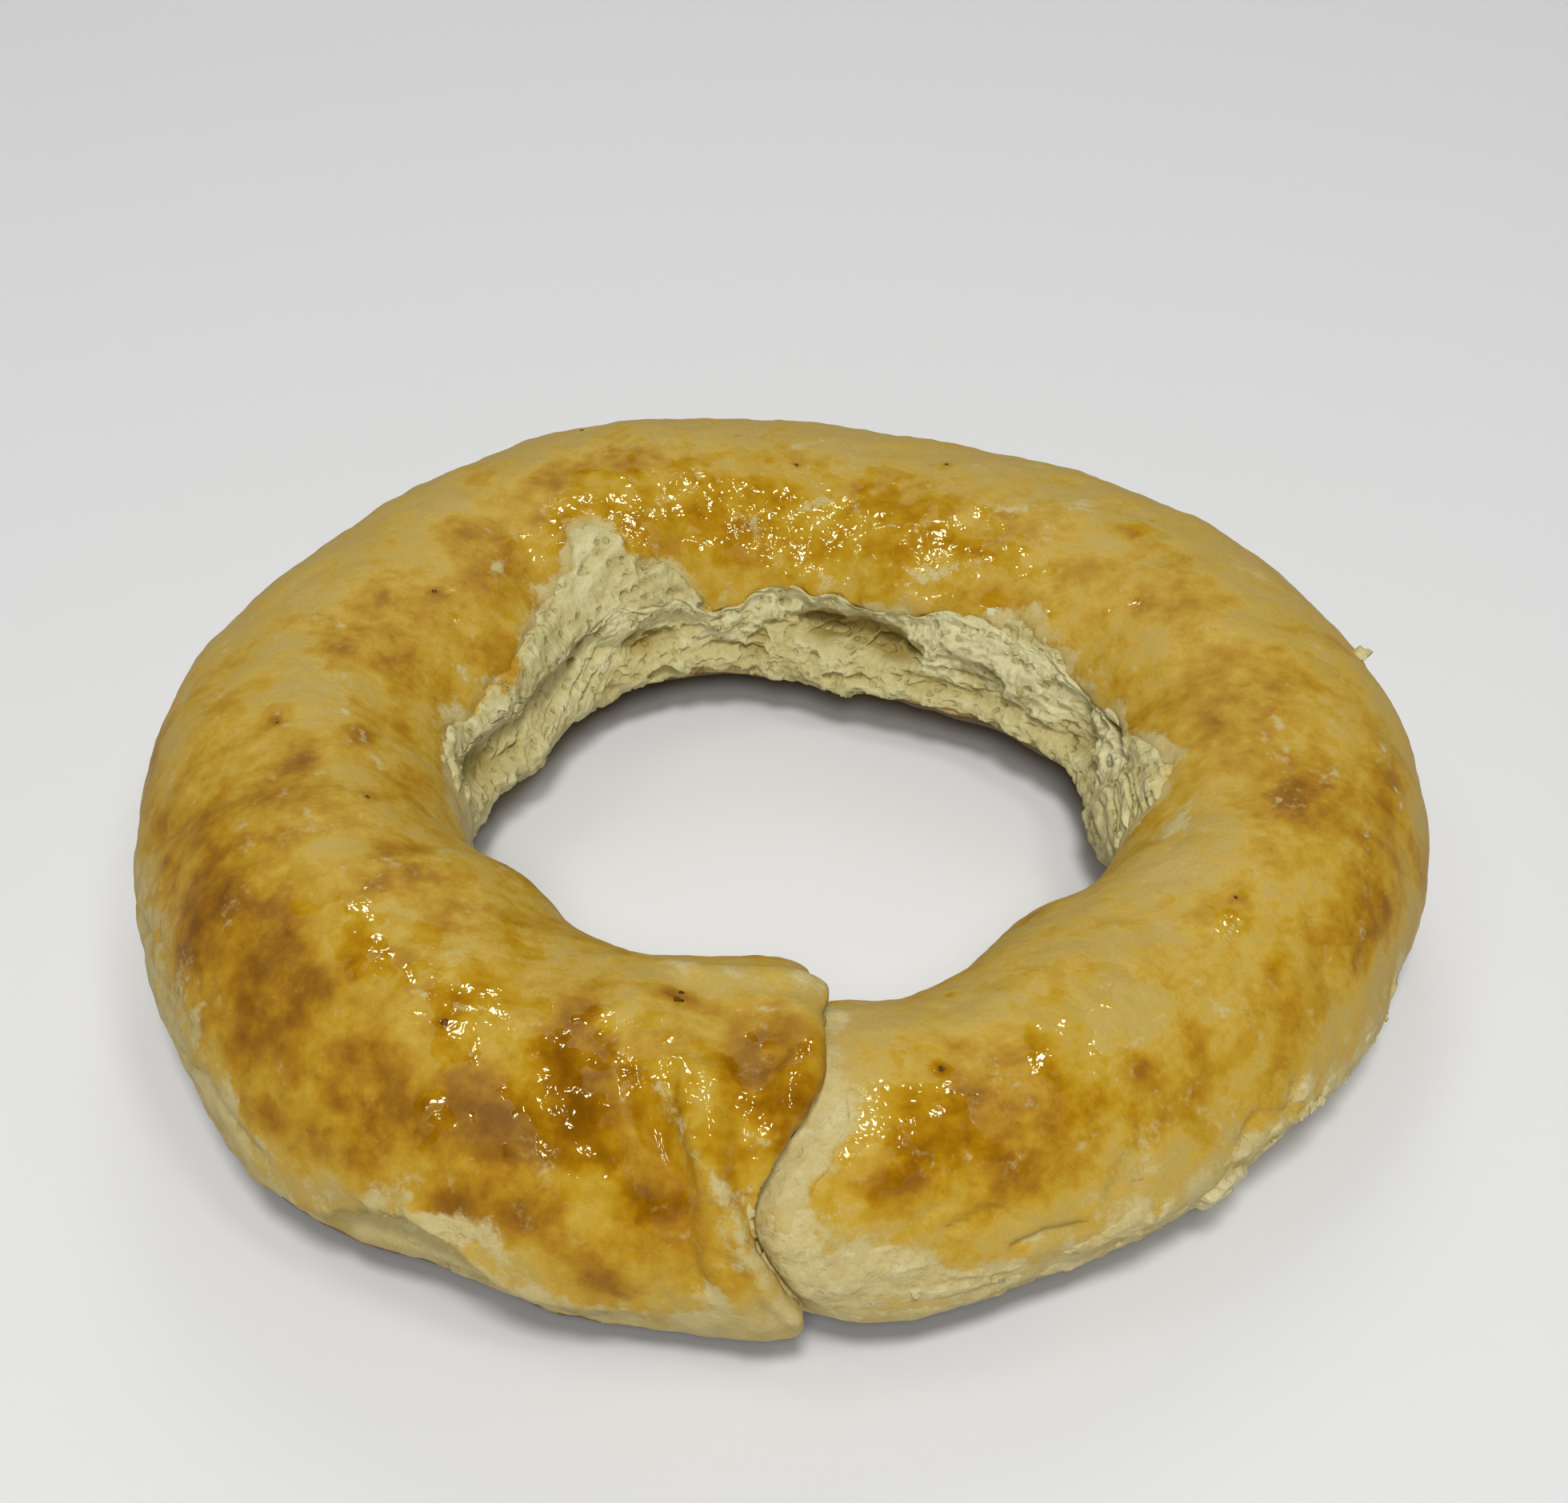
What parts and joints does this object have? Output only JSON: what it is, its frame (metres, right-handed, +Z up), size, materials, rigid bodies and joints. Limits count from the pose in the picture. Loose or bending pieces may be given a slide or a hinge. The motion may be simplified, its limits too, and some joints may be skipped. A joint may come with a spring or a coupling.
{
  "type": "pastry ring",
  "caption": "Baked pastry ring lying flat: a thick egg-washed rope of dough round an open hole, its ends lapped at the front, the hole's back wall torn pale.",
  "frame": {"origin": "middle of the ring's outline, on the surface that it rests on", "axes": "+Z up along the hole's axis, the lap of the two ends towards -Y, +X to the right as seen from the lap"},
  "size_m": [0.1794, 0.1802, 0.0382],
  "materials": {
    "crust": "egg-washed golden crust, glossy on the high spots, pale matte crumb where it is torn"
  },
  "bodies": {
    "root": {"pastry_ring": "crust"}
  },
  "joints": []
}
